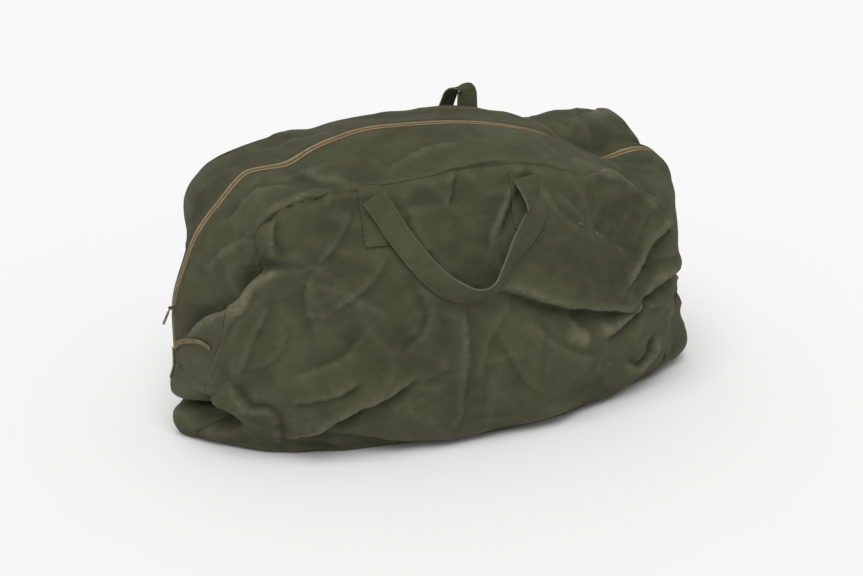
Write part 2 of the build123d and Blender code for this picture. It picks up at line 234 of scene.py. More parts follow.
def arch_line(step=0.002):
    """The arch at the zip, from its left foot to its right foot, as (x, z) points."""
    points = [(-HALF_LENGTH, END_HEIGHT * t) for t in np.linspace(0, 1, int(END_HEIGHT / step))]
    at, heading = np.array(points[-1]), math.pi / 2
    for radius, degrees in ARCS:
        turn, side = math.radians(degrees), math.copysign(1, degrees)
        centre = at + side * radius * np.array([math.sin(heading), -math.cos(heading)])
        for part in np.linspace(0, 1, max(3, int(abs(turn) * radius / step)))[1:]:
            angle = heading - turn * part
            at = centre - side * radius * np.array([math.sin(angle), -math.cos(angle)])
            points.append(tuple(at))
        heading -= turn
    foot = at + at[1] * np.array([math.tan(math.radians(END_SLOPE)), -1])
    points += [tuple(at + (foot - at) * t) for t in np.linspace(0, 1, int(at[1] / step))[1:]]
    return np.array(points)


def smooth_through(points, steps=24):
    """A centripetal Catmull-Rom curve through the points."""
    p = np.array(points, float)
    p = np.vstack([2 * p[0] - p[1], p, 2 * p[-1] - p[-2]])
    curve = []
    for p0, p1, p2, p3 in zip(p, p[1:], p[2:], p[3:]):
        t1 = np.linalg.norm(p1 - p0) ** 0.5
        t2 = t1 + np.linalg.norm(p2 - p1) ** 0.5
        t3 = t2 + np.linalg.norm(p3 - p2) ** 0.5
        for t in np.linspace(t1, t2, steps, endpoint=False):
            a1 = p0 + (p1 - p0) * t / t1
            a2 = p1 + (p2 - p1) * (t - t1) / (t2 - t1)
            a3 = p2 + (p3 - p2) * (t - t2) / (t3 - t2)
            b1 = a1 + (a2 - a1) * t / t2
            b2 = a2 + (a3 - a2) * (t - t1) / (t3 - t1)
            curve.append(b1 + (b2 - b1) * (t - t1) / (t2 - t1))
    curve.append(p[-2])
    return np.array(curve)


def unit(rows):
    """Vectors of length one, along the rows."""
    return rows / np.maximum(np.linalg.norm(rows, axis=-1, keepdims=True), 1e-12)


def lengths(curve):
    """The distance along a polyline to each of its points."""
    return np.r_[0, np.cumsum(np.linalg.norm(np.diff(curve, axis=0), axis=1))]


def read_at(wanted, marks, rows):
    """The rows, read between their marks at the wanted ones."""
    return np.stack([np.interp(wanted, marks, column) for column in rows.T], 1)


def at_length(curve, wanted):
    """Points of a polyline at the wanted distances along it."""
    return read_at(wanted, lengths(curve), curve)


def even(curve, count):
    """A polyline cut into count equal steps."""
    return at_length(curve, np.linspace(0, lengths(curve)[-1], count + 1))


def hoop(curve, shoulders):
    """One lane of the gusset, foot to foot: even steps up the left end, over the top and down."""
    along = lengths(curve)
    cuts = [0.0]
    cuts += [along[np.argmin(((curve - np.array(p)) ** 2).sum(1))] for p in shoulders]
    cuts.append(along[-1])
    parts = [
        np.linspace(a, b, n + 1)[:-1]
        for a, b, n in zip(cuts, cuts[1:], (CELLS_UP, CELLS_ALONG, CELLS_UP))
    ]
    return at_length(curve, np.r_[parts[0], parts[1], parts[2], cuts[-1]])


def coons(bottom, top, left, right):
    """A patch between four edges: [step along, step up, xyz]."""
    u = np.linspace(0, 1, len(bottom))[:, None, None]
    v = np.linspace(0, 1, len(left))[None, :, None]
    ruled = (1 - v) * bottom[:, None] + v * top[:, None] + (1 - u) * left[None] + u * right[None]
    corners = (1 - u) * (1 - v) * bottom[0] + u * (1 - v) * bottom[-1]
    return ruled - corners - (1 - u) * v * top[0] - u * v * top[-1]


def gusset_between(zip_hoop, seams):
    """The gusset's lanes from seam to seam, swelling where the load pushes: [step, lane, xyz]."""
    gusset = np.zeros((len(zip_hoop), len(ACROSS), 3))
    for j, y in enumerate(ACROSS):
        seam = seams[1 if y > 0 else -1]
        share = abs(y) / LANES[-1]
        crown = 1.1 + 0.6 * np.clip((zip_hoop[:, 2] - 0.30) / 0.12, 0, 1)
        mix = max(0.0, (share - 0.08) / 0.92) ** crown
        gusset[:, j] = zip_hoop + (seam - zip_hoop) * mix[:, None]
        gusset[:, j, 1] = seam[:, 1] * share
        x = gusset[:, j, 0]
        top = np.clip((gusset[:, j, 2] - 0.25) / 0.15, 0, 1)
        for place, across, long, wide, rise in SWELLS:
            swell = np.exp(-(((x - place) / long) ** 2)) * math.exp(-(((y - across) / wide) ** 2))
            gusset[:, j, 2] += rise * swell * top
    return gusset


def side_panel(side, seam, hem):
    """The front (-1) or back (1) panel between its seam and its hem: [step along, step up, xyz]."""
    n, m = CELLS_UP, CELLS_ALONG
    bottom = even(smooth_through(hem), m)
    panel = coons(bottom, seam[n : n + m + 1], seam[: n + 1], seam[n + m :][::-1])
    u = np.linspace(0, 1, m + 1)[:, None]
    v = np.linspace(0, 1, n + 1)[None, :]
    ends = np.clip(np.sin(math.pi * u), 0, 1) ** 0.75
    rise = np.clip(np.sin(math.pi * v**0.85), 0, 1) ** 0.72
    panel[..., 1] += side * BELLY[side] * ends * rise
    panel[..., 0] += 0.010 * np.sign(u - 0.5) * (abs(2 * u - 1) ** 3) * rise
    return panel


def build_lattice():
    """The bag's closed skin before folding: its points, quads, tags and lattice coordinates."""
    flat_arch = arch_line()
    zip_line = np.stack([flat_arch[:, 0], 0 * flat_arch[:, 0], flat_arch[:, 1]], 1)
    zip_hoop = hoop(zip_line, SHOULDER["zip"])
    seams = {
        -1: hoop(smooth_through(FRONT_SEAM), SHOULDER["front"]),
        1: hoop(smooth_through(BACK_SEAM), SHOULDER["back"]),
    }
    gusset = gusset_between(zip_hoop, seams)
    front = side_panel(-1, seams[-1], FRONT_HEM)
    back = side_panel(1, seams[1], BACK_HEM)
    base = coons(gusset[0], gusset[-1], front[:, 0], back[:, 0])
    n, m, last = CELLS_UP, CELLS_ALONG, len(ACROSS) - 1
    index, points = {}, []

    def vertex(i, j, k):
        """The number of a lattice point, which is made when it is first asked for."""
        key = (i, j, k)
        if key not in index:
            index[key] = len(points)
            if j == 0:
                points.append(front[i, k])
            elif j == last:
                points.append(back[i, k])
            elif i == 0:
                points.append(gusset[k, j])
            elif k == n:
                points.append(gusset[n + i, j])
            elif i == m:
                points.append(gusset[n + m + n - k, j])
            else:
                points.append(base[j, i])
        return index[key]

    quads, tags = [], []

    def quad(corners, tag):
        """One more face of the skin."""
        quads.append([vertex(*c) for c in corners])
        tags.append(TAGS.index(tag))

    for i in range(m):
        for k in range(n):
            quad([(i, 0, k), (i + 1, 0, k), (i + 1, 0, k + 1), (i, 0, k + 1)], "front_panel")
            quad([(i, last, k), (i, last, k + 1), (i + 1, last, k + 1), (i + 1, last, k)], "back_panel")
    for j in range(last):
        middle = (ACROSS[j] + ACROSS[j + 1]) / 2
        half = "front_gusset" if middle < 0 else "back_gusset"
        slot = abs(middle) < SLOT_HALF
        for k in range(n):
            for i, low, end in (
                (0, ZIP_LOW_LEFT, "left_end_panel"),
                (m, ZIP_LOW_RIGHT, "right_end_panel"),
            ):
                s = k if i == 0 else n + m + n - k
                tag = end if zip_hoop[s, 2] < low else ("slot" if slot else half)
                corners = [(i, j, k), (i, j, k + 1), (i, j + 1, k + 1), (i, j + 1, k)]
                quad(corners[::-1] if i else corners, tag)
        for i in range(m):
            quad([(i, j, n), (i + 1, j, n), (i + 1, j + 1, n), (i, j + 1, n)], "slot" if slot else half)
            quad([(i, j, 0), (i, j + 1, 0), (i + 1, j + 1, 0), (i + 1, j, 0)], "base_panel")
    keys = np.array([key for key, _ in sorted(index.items(), key=lambda item: item[1])])
    return np.array(points), np.array(quads), np.array(tags), keys


def face_normals(points, quads):
    """Each quad's normal, as long as twice its area."""
    a, b, c, d = (points[quads[:, k]] for k in range(4))
    return np.cross(c - a, d - b)


def gathered(faces, points, quads):
    """The sum at each point of its faces' vectors."""
    total = np.zeros_like(points)
    for k in range(4):
        np.add.at(total, quads[:, k], faces)
    return total


def normals_of(points, quads):
    """Unit vertex normals of a quad mesh."""
    return unit(gathered(face_normals(points, quads), points, quads))


def placed(name, data):
    """A new object in the scene."""
    made = bpy.data.objects.new(name, data)
    bpy.context.scene.collection.objects.link(made)
    return made


def mesh_object(name, points, quads, tags=None):
    """A new mesh object from arrays."""
    mesh = bpy.data.meshes.new(name)
    mesh.from_pydata([tuple(p) for p in points], [], [tuple(q) for q in quads])
    if tags is not None:
        mesh.polygons.foreach_set("material_index", np.array(tags, np.int32))
    mesh.update()
    return placed(name, mesh)


def mark_points(mesh, name, values):
    """A new float attribute on a mesh's points."""
    layer = mesh.attributes.new(name, "FLOAT", "POINT")
    layer.data.foreach_set("value", values.astype(np.float32))


def lay_cloth(mesh, flat):
    """Smooth shading, and cloth coordinates at each corner from those of its point."""
    for polygon in mesh.polygons:
        polygon.use_smooth = True
    layer = mesh.uv_layers.new(name="cloth")
    corner = np.array([loop.vertex_index for loop in mesh.loops])
    layer.data.foreach_set("uv", flat[corner].astype(np.float32).ravel())


def lay_flat(piece, quads, tags, keys):
    """Cloth coordinates in metres: along the panel and up it, or round the gusset and across it."""
    layer = piece.data.uv_layers.new(name="cloth")
    corners = keys[quads]
    i, j, k = corners[..., 0], corners[..., 1], corners[..., 2]
    side = (tags <= 1)[:, None]
    base = (tags == TAGS.index("base_panel"))[:, None]
    right_end = 2 * CELLS_UP + CELLS_ALONG - k
    hoop_step = np.where(i == 0, k, np.where(i == CELLS_ALONG, right_end, CELLS_UP + i))
    across = np.array(ACROSS)[j] * CROSS_STRETCH
    u = np.where(side | base, i, hoop_step) * CELL_LONG
    v = np.where(side, k * CELL_HIGH, across)
    layer.data.foreach_set("uv", np.stack([u, v], -1).astype(np.float32).ravel())


def route_frame(points, normals, line):
    """Each point's signed distance from a line on the cloth, the line's strength there, and its right."""
    route = smooth_through(line, 8)
    best = np.full(len(points), np.inf)
    foot = np.zeros_like(points)
    along = np.zeros(len(points))
    heading = np.zeros_like(points)
    marks = lengths(route) / lengths(route)[-1]
    for a, b, start, end in zip(route, route[1:], marks, marks[1:]):
        step = b - a
        t = np.clip(((points - a) @ step) / (step @ step), 0, 1)
        near = a + t[:, None] * step
        gap = ((points - near) ** 2).sum(1)
        closer = gap < best
        best = np.where(closer, gap, best)
        foot[closer] = near[closer]
        along = np.where(closer, start + (end - start) * t, along)
        heading[closer] = step / np.linalg.norm(step)
    right = np.cross(heading, normals)
    right /= np.maximum(np.linalg.norm(right, axis=1, keepdims=True), 1e-9)
    side = np.sign(((points - foot) * right).sum(1))
    taper = np.clip(along / 0.22, 0, 1) * np.clip((1 - along) / 0.22, 0, 1)
    return side * np.sqrt(best), taper * taper * (3 - 2 * taper) * 0.92 + 0.08, right


def near_line(points, line, reach):
    """Which points are in the box round a line, with room to spare."""
    line = np.array(line)
    inside = (points > line.min(0) - reach) & (points < line.max(0) + reach)
    return np.nonzero(np.all(inside, axis=1))[0]


def folded(points, quads, loose):
    """The form with its folds and creases pressed into it, where the cloth is loose."""
    points = points.copy()
    for line, rise, sink, width, lap in FOLDS:
        some = near_line(points, line, 2.6 * width)
        normals = normals_of(points, quads)[some]
        gap, taper, right = route_frame(points[some], normals, line)
        taper = taper * loose[some]
        over = 0.5 + 0.5 * np.tanh(gap / STEP_WIDTH)
        shape = np.exp(-((np.abs(gap) / width) ** 1.6)) * taper
        height = FOLD_DEPTH * (over * rise - (1 - over) * sink) * shape
        slide = -FOLD_DEPTH * lap * np.exp(-((gap / (0.5 * width)) ** 2)) * over * taper
        points[some] += normals * height[:, None] + right * slide[:, None]
    outward = normals_of(points, quads)
    for line, height, width in CREASES + stray_creases(points, quads):
        some = near_line(points, line, 4 * width)
        gap, taper, _ = route_frame(points[some], outward[some], line)
        slope = (0.6 + 0.4 * np.tanh(gap / STEP_WIDTH)) * np.exp(-np.abs(gap) / width)
        crest = CREASE_HEIGHT * height * slope * taper * loose[some]
        points[some] += outward[some] * crest[:, None]
    return points


def smooth_rows(rows, rounds):
    """A line's rows averaged with their neighbours, its ends kept."""
    for _ in range(rounds):
        rows = np.vstack([rows[:1], (rows[:-2] + 2 * rows[1:-1] + rows[2:]) / 4, rows[-1:]])
    return rows


def smoothed(points, quads, share):
    """Each point moved its share of the way to the middle of its neighbours."""
    edges = np.vstack([quads[:, [0, 1]], quads[:, [1, 2]], quads[:, [2, 3]], quads[:, [3, 0]]])
    count = np.maximum(np.bincount(edges.ravel(), minlength=len(points)), 1)[:, None]
    total = np.stack(
        [
            np.bincount(edges[:, 0], points[edges[:, 1], axis], len(points))
            + np.bincount(edges[:, 1], points[edges[:, 0], axis], len(points))
            for axis in range(3)
        ],
        1,
    )
    return points + (total / count - points) * np.reshape(share, (-1, 1))


def uncrumpled(points, quads, rounds):
    """Smooths only where neighbouring faces turn hard against each other."""
    faces_at = np.maximum(np.bincount(quads.ravel(), minlength=len(points)), 1)
    for _ in range(rounds):
        total = gathered(unit(face_normals(points, quads)), points, quads)
        agree = np.linalg.norm(total, axis=1) / faces_at
        crumple = np.clip((0.92 - agree) / 0.14, 0, 1)
        spread = crumple[:, None].repeat(3, 1)
        crumple = np.clip(2.0 * smoothed(spread, quads, 1.0)[:, 0] + crumple, 0, 1)
        points = smoothed(points, quads, 0.6 * crumple)
    return points


def hollowed(points, quads):
    """The form with its hollows pushed in, and its front right corner lifted off the floor."""
    for centre, radius, depth in PITS:
        normals = normals_of(points, quads)
        gap = np.linalg.norm(points - np.array(centre), axis=1)
        points = points - normals * (depth * np.exp(-((gap / radius) ** 2)))[:, None]
    x, y, z = points.T
    lift = np.clip((x - 0.33) / 0.12, 0, 1) * np.clip((0.12 - z) / 0.12, 0, 1)
    lift = lift * np.clip((0.14 - y) / 0.12, 0, 1)
    return points + np.outer(lift, (-0.4 * CORNER_LIFT, 0, CORNER_LIFT))


def stray_creases(points, quads):
    """Small sharp creases at random places on the cloth, mostly aslant, as a heavy load pulls it."""
    chance = random.Random(11)
    normals = normals_of(points, quads)
    found = []
    while len(found) < STRAY_CREASES:
        pick = chance.randrange(len(points))
        place, normal = points[pick], normals[pick]
        if place[2] < 0.03 or (place[2] > 0.44 and chance.random() < 0.7):
            continue
        turn = chance.uniform(0, math.pi)
        slant = np.cross(normal, (math.cos(turn), 0.3, math.sin(turn)))
        slant /= max(np.linalg.norm(slant), 1e-9)
        reach = chance.uniform(0.02, 0.06)
        bend = np.cross(normal, slant) * chance.uniform(-0.25, 0.25) * reach
        line = [place - slant * reach, place + bend, place + slant * reach]
        height = chance.choice((-1, 1, 1)) * chance.uniform(0.0012, 0.0032)
        found.append((line, height, chance.uniform(0.008, 0.018)))
    return found


def uneven(points, quads, loose):
    """Soft unevenness and crests from smooth noise, where the cloth is loose."""
    sway = np.array([noise.noise(Vector(p) / SWAY_SIZE) for p in points])
    warped = (Vector((p[0] + 0.5 * p[2], p[1], p[2] - 0.25 * p[0])) / RIPPLE_SIZE for p in points)
    crest = np.array([abs(noise.noise(p + Vector((7, 3, 1)))) for p in warped])
    move = SWAY * sway + RIPPLE * (0.25 - crest)
    return points + normals_of(points, quads) * (move * loose)[:, None]


def held_still(keys):
    """How firmly each lattice point is held: 1 at the zip and in the base, 0 elsewhere."""
    across = np.abs(np.array(ACROSS))[keys[:, 1]]
    top_or_end = (keys[:, 0] == 0) | (keys[:, 0] == CELLS_ALONG) | (keys[:, 2] == CELLS_UP)
    zip_hold = np.clip((0.030 - across) / 0.016, 0, 1) * top_or_end
    return np.maximum(zip_hold, keys[:, 2] == 0)


def notched(points):
    """The lower left end: an ear of empty cloth, and above it a notch under the mouth's loose lip."""
    x, y, z = points.T
    there = np.clip((-0.36 - x) / 0.05, 0, 1) * np.exp(-(((y + 0.03) / 0.085) ** 4))
    ear = -EAR_OUT * np.exp(-(((z - 0.026) / 0.017) ** 2)) * np.exp(-(((y + 0.01) / 0.06) ** 2))
    forward = np.clip((-0.015 - y) / 0.045, 0, 1)
    opening = 0.0115 + 0.014 * forward
    notch = NOTCH_IN * (opening / 0.0115) ** 0.4 * np.exp(-(((z - 0.063) / opening) ** 2))
    lip = -LIP_OUT * np.exp(-(((z - 0.092) / 0.024) ** 2))
    droop = -LIP_DROOP * (1 - 0.8 * forward) * np.exp(-(((z - 0.080) / 0.014) ** 2))
    return points + np.stack([there * (ear + notch + lip), 0 * x, there * droop], 1)


def on_floor(points):
    """No point is under the floor, and what is nearly on it lies on it."""
    out = points.copy()
    out[:, 2] = np.maximum(out[:, 2], FLOOR_GAP)
    return out


def square(half, z):
    """The corners of a level square."""
    return [(-half, -half, z), (half, -half, z), (half, half, z), (-half, half, z)]


def settle(points, quads, still):
    """A cloth simulation: the cloth, a little too big for its load, hangs and wrinkles on it."""
    scene = bpy.context.scene
    cloth = mesh_object("settling", points, quads)
    hold = np.round(0.16 + 0.84 * still, 2)
    group = cloth.vertex_groups.new(name="hold")
    for level in np.unique(hold):
        group.add(np.nonzero(hold == level)[0].tolist(), float(level), "REPLACE")
    load = mesh_object("load", points - normals_of(points, quads) * LOAD_DEPTH, quads)
    ground = mesh_object("ground", square(1, -0.001), [(0, 1, 2, 3)])
    for body in (load, ground):
        body.modifiers.new("collision", "COLLISION")
        body.collision.thickness_outer = 0.002
        body.collision.cloth_friction = 12
    simulation = cloth.modifiers.new("cloth", "CLOTH")
    settings = simulation.settings
    settings.quality = 6
    settings.mass = 0.35
    settings.tension_stiffness = settings.compression_stiffness = 25
    settings.shear_stiffness = 12
    settings.bending_stiffness = 0.35
    settings.air_damping = 2
    settings.shrink_min = SLACK
    settings.vertex_group_mass = "hold"
    settings.pin_stiffness = 0.6
    simulation.collision_settings.distance_min = 0.003
    simulation.collision_settings.collision_quality = 2
    for number in range(1, FRAMES + 1):
        scene.frame_set(number)
    settled = cloth.evaluated_get(bpy.context.evaluated_depsgraph_get())
    flat = np.zeros(len(points) * 3)
    settled.to_mesh().vertices.foreach_get("co", flat)
    moved = flat.reshape(-1, 3) - points
    for _ in range(SMOOTH_ROUNDS):
        moved = smoothed(moved, quads, 0.6)
    far = np.linalg.norm(moved, axis=1, keepdims=True)
    moved *= np.minimum(1, MOST_MOVE / np.maximum(far, 1e-9))
    settled.to_mesh_clear()
    scene.frame_set(1)
    for piece in (cloth, load, ground):
        bpy.data.objects.remove(piece)
    return points + moved * (1 - still)[:, None]


# ---- materials ----
class Nodes:
    """A material's node tree, with short calls to build it."""

    def __init__(self, name, roughness, specular=0.3):
        self.material = bpy.data.materials.new(name)
        self.material.use_nodes = True
        self.tree = self.material.node_tree
        self.shader = self.tree.nodes["Principled BSDF"]
        self.shader.inputs["Roughness"].default_value = roughness
        self.shader.inputs["Specular IOR Level"].default_value = specular
        self.place = self.add("ShaderNodeTexCoord").outputs["Object"]

    def add(self, kind, inputs=(), **settings):
        """A new node, with its inputs linked or set."""
        made = self.tree.nodes.new(kind)
        for key, value in settings.items():
            setattr(made, key, value)
        for key, value in dict(inputs).items():
            if isinstance(value, bpy.types.NodeSocket):
                self.tree.links.new(value, made.inputs[key])
            else:
                made.inputs[key].default_value = value
        return made

    def vector(self, operation, inputs):
        """One operation on vectors."""
        return self.add("ShaderNodeVectorMath", inputs, operation=operation)

    def noise(self, scale, detail=3.0, stretch=(1, 1, 1), distort=0.0):
        """Smooth noise from 0 to 1 over the piece's place in metres."""
        spread = self.vector("MULTIPLY", {0: self.place, 1: stretch})
        inputs = {"Vector": spread.outputs[0], "Scale": scale, "Detail": detail, "Distortion": distort}
        return self.add("ShaderNodeTexNoise", inputs).outputs["Fac"]

    def spread(self, value, low, high, to_low=0.0, to_high=1.0):
        """A value stretched from one range to another, and held at its ends."""
        inputs = {"Value": value, 1: low, 2: high, 3: to_low, 4: to_high}
        return self.add("ShaderNodeMapRange", inputs).outputs[0]

    def maths(self, operation, a, b=0.0):
        """One operation on two values."""
        return self.add("ShaderNodeMath", {0: a, 1: b}, operation=operation).outputs[0]

    def mix(self, share, a, b):
        """Colour a turning to colour b by a share."""
        made = self.add("ShaderNodeMix", data_type="RGBA")
        for key, value in (("Factor", share), (6, a), (7, b)):
            socket = made.inputs[key]
            if isinstance(value, bpy.types.NodeSocket):
                self.tree.links.new(value, socket)
            else:
                socket.default_value = (*value, 1) if key in (6, 7) else value
        return made.outputs[2]

    def tinted(self, colour, share, strength, paint):
        """The colour, taken towards a paint by a share at this strength."""
        return self.mix(self.maths("MULTIPLY", share, strength), colour, paint)

    def attribute(self, name):
        """A value that is marked on the piece's points."""
        return self.add("ShaderNodeAttribute", attribute_name=name).outputs["Fac"]

    def weave(self, pitch, count=(1, 1)):
        """Over-and-under threads from the cloth coordinates, from 0 to 1."""
        cloth = self.add("ShaderNodeUVMap", uv_map="cloth").outputs["UV"]
        parts = self.add("ShaderNodeSeparateXYZ", {0: cloth})
        waves = []
        for axis, number in ((0, count[0]), (1, count[1])):
            turn = self.maths("MULTIPLY", parts.outputs[axis], number * math.pi / pitch)
            waves.append(self.maths("SINE", turn))
        over = self.maths("MULTIPLY", waves[0], waves[1])
        return self.spread(over, -1.0, 1.0)

    def bump(self, layers):
        """Bumps stacked on one another: (height, distance in metres)."""
        normal = None
        for height, distance in layers:
            inputs = {"Height": height, "Distance": distance, "Strength": 1.0}
            if normal:
                inputs["Normal"] = normal
            normal = self.add("ShaderNodeBump", inputs).outputs["Normal"]
        self.tree.links.new(normal, self.shader.inputs["Normal"])

    def finish(self, colour, roughness=None):
        """The material, with its colour and its roughness if that varies."""
        self.tree.links.new(colour, self.shader.inputs["Base Color"])
        if roughness:
            self.tree.links.new(roughness, self.shader.inputs["Roughness"])
        return self.material


def times(factor, colour):
    """A colour, brighter or darker."""
    return tuple(factor * c for c in colour)


def cloth_material(name, dark, middle, worn_and_lit, thread_pitch, marks=()):
    """Waxed cotton: mottled, rubbed pale and given a painted highlight on its crests, with painted shade in
    its creases, pale scratches and patches of painted sheen, and its weave showing.
    """
    n = Nodes(name, 0.8, 0.22)
    patches = n.spread(n.noise(5.0, 4.0, distort=0.6), 0.34, 0.66)
    specks = n.spread(n.noise(46.0, 3.0), 0.35, 0.70)
    streaks = n.spread(n.noise(16.0, 4.0, (1.0, 1.0, 2.4), 1.2), 0.42, 0.72)
    colour = n.mix(patches, dark, middle)
    colour = n.tinted(colour, specks, 0.30, times(1.35, middle))
    faded = tuple(0.7 * a + 0.3 * b for a, b in zip(middle, worn_and_lit))
    colour = n.tinted(colour, streaks, 0.22, faded)
    grain = n.spread(n.noise(120.0, 2.0), 0.3, 0.7)
    # the crests: rubbed wear, paler in patches, and a painted highlight
    rub_and_highlight = n.maths("MULTIPLY", n.attribute("crest"), n.spread(grain, 0.0, 1.0, 0.35, 1.0))
    colour = n.tinted(colour, rub_and_highlight, 0.85, worn_and_lit)
    # painted shade: the creases are darkened
    colour = n.tinted(colour, n.attribute("crease"), 0.72, times(0.32, dark))
    # pale scratches, and wide patches of painted sheen
    for start, end, wide, strength in marks:
        way = tuple(b - a for a, b in zip(start, end))
        square = sum(c * c for c in way)
        offset = n.vector("SUBTRACT", {0: n.place, 1: start}).outputs[0]
        shadow = n.vector("DOT_PRODUCT", {0: offset, 1: way}).outputs["Value"]
        share = n.spread(n.maths("DIVIDE", shadow, square), 0.0, 1.0)
        step = n.vector("SCALE", {0: way, "Scale": share}).outputs[0]
        gap = n.vector("DISTANCE", {0: offset, 1: step}).outputs["Value"]
        near = n.spread(gap, wide, 0.25 * wide)
        patchy = n.spread(n.noise(min(60.0, 0.45 / wide), 4.0), 0.28, 0.66)
        colour = n.tinted(colour, n.maths("MULTIPLY", near, patchy), strength, times(2.6, worn_and_lit))
    threads = n.weave(thread_pitch)
    colour = n.tinted(colour, threads, 0.16, times(0.62, dark))
    roughness = n.spread(n.noise(9.0, 3.0), 0.35, 0.65, 0.68, 0.88)
    wax = (n.noise(13.0, 4.0, distort=0.9), 0.0040)
    wrinkles = (n.noise(38.0, 4.0, distort=0.8), 0.0022)
    n.bump([wax, wrinkles, (n.noise(420.0, 2.0), 0.00025), (threads, 0.00022)])
    return n.finish(colour, roughness)


def tape_material(name, tan, pale):
    """Cotton tape with fine ribs across it, and dirt in patches."""
    n = Nodes(name, 0.85, 0.2)
    ribs = n.weave(0.0011, (1, 0.6))
    colour = n.mix(n.spread(n.noise(60.0, 3.0), 0.35, 0.65), tan, pale)
    colour = n.tinted(colour, ribs, 0.30, times(0.55, tan))
    colour = n.tinted(colour, n.spread(n.noise(14.0, 4.0), 0.5, 0.75), 0.4, times(0.38, tan))
    n.bump([(ribs, 0.0003)])
    return n.finish(colour)


def metal_material(name, colour, dull, roughness, metallic):
    """Cast metal, tarnished in patches."""
    n = Nodes(name, roughness, 0.5)
    n.shader.inputs["Metallic"].default_value = metallic
    tarnish = n.spread(n.noise(160.0, 4.0), 0.40, 0.65)
    n.bump([(n.noise(900.0, 2.0), 0.00008)])
    return n.finish(n.mix(tarnish, colour, dull), n.spread(tarnish, 0.0, 1.0, roughness, roughness + 0.25))


def thread_material():
    """Twisted sewing thread."""
    n = Nodes("thread", 0.7, 0.3)
    shade = n.spread(n.noise(300.0, 2.0), 0.35, 0.65)
    n.bump([(n.noise(1500.0, 1.0), 0.0001)])
    return n.finish(n.mix(shade, (0.052, 0.052, 0.024), (0.110, 0.108, 0.056)))


SCRAPES_AND_SHEEN = [  # pale marks on the front, thin scratches and two wide patches of painted sheen: from, to, half width, strength
    ((0.171, -0.186, 0.362), (0.226, -0.180, 0.322), 0.0020, 0.34),
    ((0.226, -0.180, 0.322), (0.258, -0.172, 0.296), 0.0015, 0.24),
    ((0.138, -0.200, 0.140), (0.180, -0.190, 0.124), 0.0020, 0.60),
    ((0.190, -0.186, 0.120), (0.245, -0.165, 0.088), 0.0016, 0.45),
    ((0.105, -0.205, 0.150), (0.108, -0.205, 0.147), 0.0050, 0.80),
    # these two: painted sheen
    ((0.160, -0.195, 0.166), (0.182, -0.190, 0.158), 0.0180, 0.30),
    ((0.212, -0.184, 0.172), (0.226, -0.180, 0.160), 0.0150, 0.26),
    ((-0.250, -0.190, 0.240), (-0.245, -0.190, 0.235), 0.0090, 0.18),
]
canvas_colours = (0.037, 0.041, 0.020), (0.068, 0.070, 0.035), (0.160, 0.158, 0.098)
canvas = cloth_material("canvas", *canvas_colours, 0.0011, SCRAPES_AND_SHEEN)
webbing_colours = (0.042, 0.046, 0.023), (0.070, 0.073, 0.037), (0.160, 0.158, 0.100)
webbing = cloth_material("webbing", *webbing_colours, 0.0014)
tape = tape_material("zip_tape", (0.255, 0.188, 0.104), (0.345, 0.262, 0.150))
old_tape = tape_material("old_tape", (0.150, 0.118, 0.052), (0.205, 0.165, 0.080))
teeth = metal_material("zip_teeth", (0.250, 0.180, 0.100), (0.160, 0.112, 0.060), 0.45, 0.2)
metal = metal_material("zip_metal", (0.230, 0.200, 0.150), (0.070, 0.060, 0.045), 0.32, 0.9)
thread = thread_material()
inside = Nodes("filling", 0.95, 0.1)
inside.bump([(inside.noise(30.0, 3.0), 0.002)])
stuffing = inside.finish(
    inside.mix(inside.noise(20.0, 3.0), (0.010, 0.011, 0.005), (0.020, 0.021, 0.010))
)
paint = Nodes("floor", 0.9, 0.1)
white = paint.finish(
    paint.mix(paint.noise(2.0, 2.0), (0.855, 0.855, 0.855), (0.865, 0.865, 0.865))
)


def pull_in(points, quads, depth, gap):
    """A smooth form inside the skin, and clear of its hollows and folds by the gap."""
    outward = normals_of(points, quads)
    inner = points - outward * depth
    for _ in range(8):
        inner = smoothed(inner, quads, 0.6)
    for _ in range(7):
        for n, p in enumerate(inner):
            heart = np.array((0.8 * p[0], 0, 0.2))
            near, normal, _, away = skin_tree.find_nearest(Vector(p))
            if away < gap or (Vector(p) - near).dot(normal) > 0:
                inner[n] = p + (heart - p) * 0.07
    return inner


# ---- ribbons, patches and stitches ----
STRAP_WIDTH, STRAP_THICK, STITCH_SHARE = 0.038, 0.0034, 0.80
STRAP_STEP, STRAP_GAP = 0.004, 0.0035  # the length of a strap's cells, and its air over the cloth
PATCH_LIMIT = 0.452  # the patches' top, and the height that they lie on the panel up to


def frames_along(route, sides, step):
    """Even places along a smooth route, with the ways across and up at each."""
    both = smooth_through(np.hstack([np.array(route, float), np.array(sides, float)]), 16)
    marks = lengths(both[:, :3])
    wanted = np.linspace(0, marks[-1], max(2, int(round(marks[-1] / step))) + 1)
    both = read_at(wanted, marks, both)
    across, up = squared(both[:, :3], both[:, 3:])
    return both[:, :3], across, up


def squared(places, across):
    """The ways across and up at each place, square to the way on."""
    onward = unit(np.gradient(places, axis=0))
    across = unit(across - onward * (across * onward).sum(1, keepdims=True))
    return across, np.cross(onward, across)


